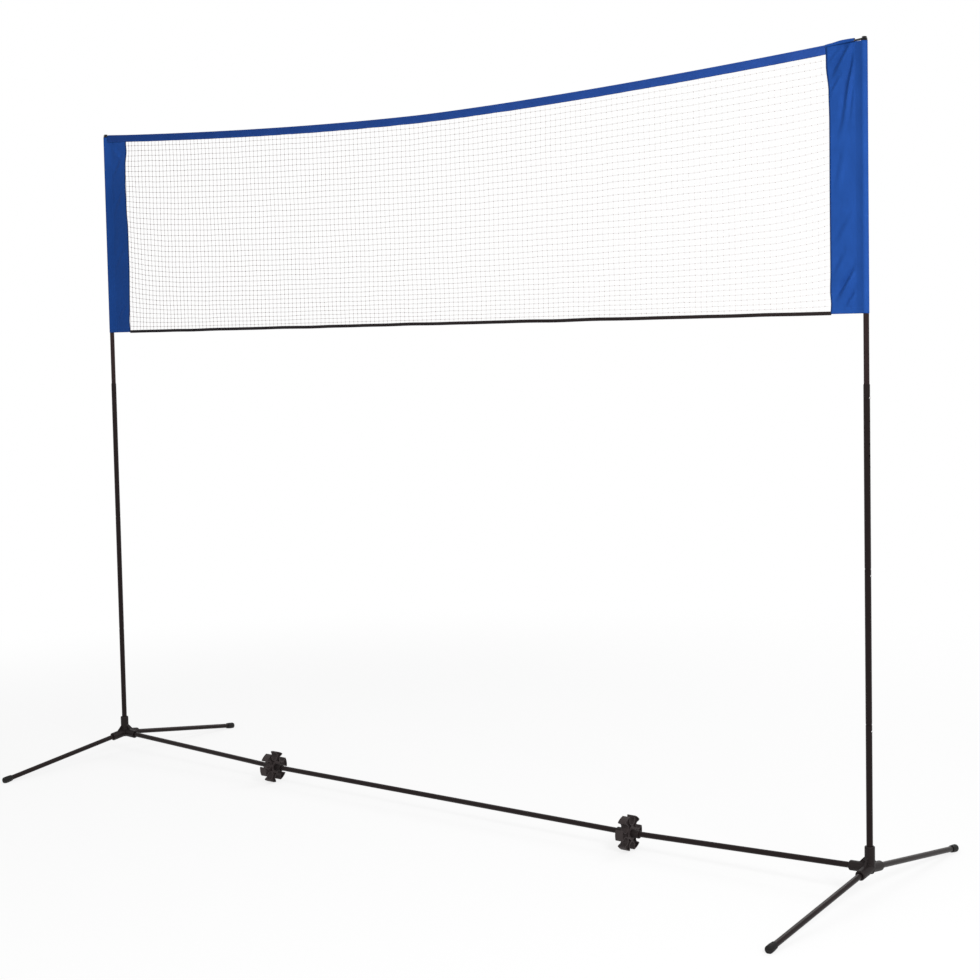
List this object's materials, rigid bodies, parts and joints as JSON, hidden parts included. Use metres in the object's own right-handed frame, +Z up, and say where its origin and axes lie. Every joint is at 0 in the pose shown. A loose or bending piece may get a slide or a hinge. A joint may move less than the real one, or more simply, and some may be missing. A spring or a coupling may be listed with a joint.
{
  "type": "multisport net",
  "caption": "Free-standing multisport net on telescoping posts, sloping tube feet and a base bar with pole-clip discs, with fine mesh and cloth side bands.",
  "frame": {"origin": "on the floor under the middle of the net", "axes": "+X along the net, +Y across it to the back, +Z up"},
  "size_m": [3.0274, 1.06, 2.2391],
  "materials": {
    "tube_coat": "semi-gloss black powder coat",
    "inner_tube_coat": "glossy black coat with a slight red tint",
    "hub_plastic": "moulded black nylon, satin",
    "clip_plastic": "moulded dark grey-black plastic, matte",
    "foot_rubber": "soft black rubber cap",
    "button_steel": "plated steel",
    "spring_steel": "tempered strip",
    "sleeve_cloth": "plain woven blue polyester",
    "tape_cloth": "folded blue polyester tape, stitched",
    "hem_cloth": "black woven edge tape",
    "net_twine": "knotted pale beige twine",
    "cord_fibre": "braided black cord"
  },
  "bodies": {
    "base_frame": {"left_hub": "hub_plastic", "left_front_foot_tube": "tube_coat", "left_back_foot_tube": "tube_coat", "left_front_foot_cap": "foot_rubber", "left_back_foot_cap": "foot_rubber", "left_outer_bar_tube": "tube_coat", "left_inner_bar_tube": "tube_coat", "left_bar_coupler": "hub_plastic", "left_lower_post_tube": "tube_coat", "left_middle_post_tube": "tube_coat", "left_outer_post_tube": "tube_coat", "left_lower_joint_spring": "spring_steel", "left_upper_joint_spring": "spring_steel", "right_hub": "hub_plastic", "right_front_foot_tube": "tube_coat", "right_back_foot_tube": "tube_coat", "right_front_foot_cap": "foot_rubber", "right_back_foot_cap": "foot_rubber", "right_outer_bar_tube": "tube_coat", "right_inner_bar_tube": "tube_coat", "right_bar_coupler": "hub_plastic", "right_lower_post_tube": "tube_coat", "right_middle_post_tube": "tube_coat", "right_outer_post_tube": "tube_coat", "right_lower_joint_spring": "spring_steel", "right_upper_joint_spring": "spring_steel"},
    "net_assembly": {"left_inner_post_tube": "inner_tube_coat", "left_post_cap": "hub_plastic", "left_cord_ferrule": "button_steel", "left_sleeve": "sleeve_cloth", "left_height_spring": "spring_steel", "right_inner_post_tube": "inner_tube_coat", "right_post_cap": "hub_plastic", "right_cord_ferrule": "button_steel", "right_sleeve": "sleeve_cloth", "right_height_spring": "spring_steel", "net_mesh": "net_twine", "top_tape": "tape_cloth", "bottom_tape": "hem_cloth", "head_cord": "cord_fibre"},
    "left_lower_joint_button": {"left_lower_joint_button": "button_steel"},
    "left_upper_joint_button": {"left_upper_joint_button": "button_steel"},
    "left_height_button": {"left_height_button": "button_steel"},
    "left_clip_disc": {"left_clip_disc": "clip_plastic"},
    "right_lower_joint_button": {"right_lower_joint_button": "button_steel"},
    "right_upper_joint_button": {"right_upper_joint_button": "button_steel"},
    "right_height_button": {"right_height_button": "button_steel"},
    "right_clip_disc": {"right_clip_disc": "clip_plastic"}
  },
  "joints": [
    {"name": "net_height", "type": "slide", "parent": "base_frame", "child": "net_assembly", "axis": [0, 0, 1], "range_m": [-0.18, 0]},
    {"name": "left_lower_joint_press", "type": "slide", "parent": "base_frame", "child": "left_lower_joint_button", "axis": [1, 0, 0], "range_m": [0, 0.004], "stiffness_N_per_m": 600, "springref_m": -0.004, "deforming": ["left_lower_joint_spring"]},
    {"name": "left_upper_joint_press", "type": "slide", "parent": "base_frame", "child": "left_upper_joint_button", "axis": [1, 0, 0], "range_m": [0, 0.004], "stiffness_N_per_m": 600, "springref_m": -0.004, "deforming": ["left_upper_joint_spring"]},
    {"name": "left_height_press", "type": "slide", "parent": "net_assembly", "child": "left_height_button", "axis": [1, 0, 0], "range_m": [0, 0.004], "stiffness_N_per_m": 600, "springref_m": -0.004, "deforming": ["left_height_spring"]},
    {"name": "left_disc_turn", "type": "hinge", "parent": "base_frame", "child": "left_clip_disc", "pos_m": [-0.73, 0, 0.054], "axis": [1, 0, 0], "continuous": true},
    {"name": "right_lower_joint_press", "type": "slide", "parent": "base_frame", "child": "right_lower_joint_button", "axis": [-1, 0, 0], "range_m": [0, 0.004], "stiffness_N_per_m": 600, "springref_m": -0.004, "deforming": ["right_lower_joint_spring"]},
    {"name": "right_upper_joint_press", "type": "slide", "parent": "base_frame", "child": "right_upper_joint_button", "axis": [-1, 0, 0], "range_m": [0, 0.004], "stiffness_N_per_m": 600, "springref_m": -0.004, "deforming": ["right_upper_joint_spring"]},
    {"name": "right_height_press", "type": "slide", "parent": "net_assembly", "child": "right_height_button", "axis": [-1, 0, 0], "range_m": [0, 0.004], "stiffness_N_per_m": 600, "springref_m": -0.004, "deforming": ["right_height_spring"]},
    {"name": "right_disc_turn", "type": "hinge", "parent": "base_frame", "child": "right_clip_disc", "pos_m": [0.73, 0, 0.054], "axis": [1, 0, 0], "continuous": true}
  ]
}
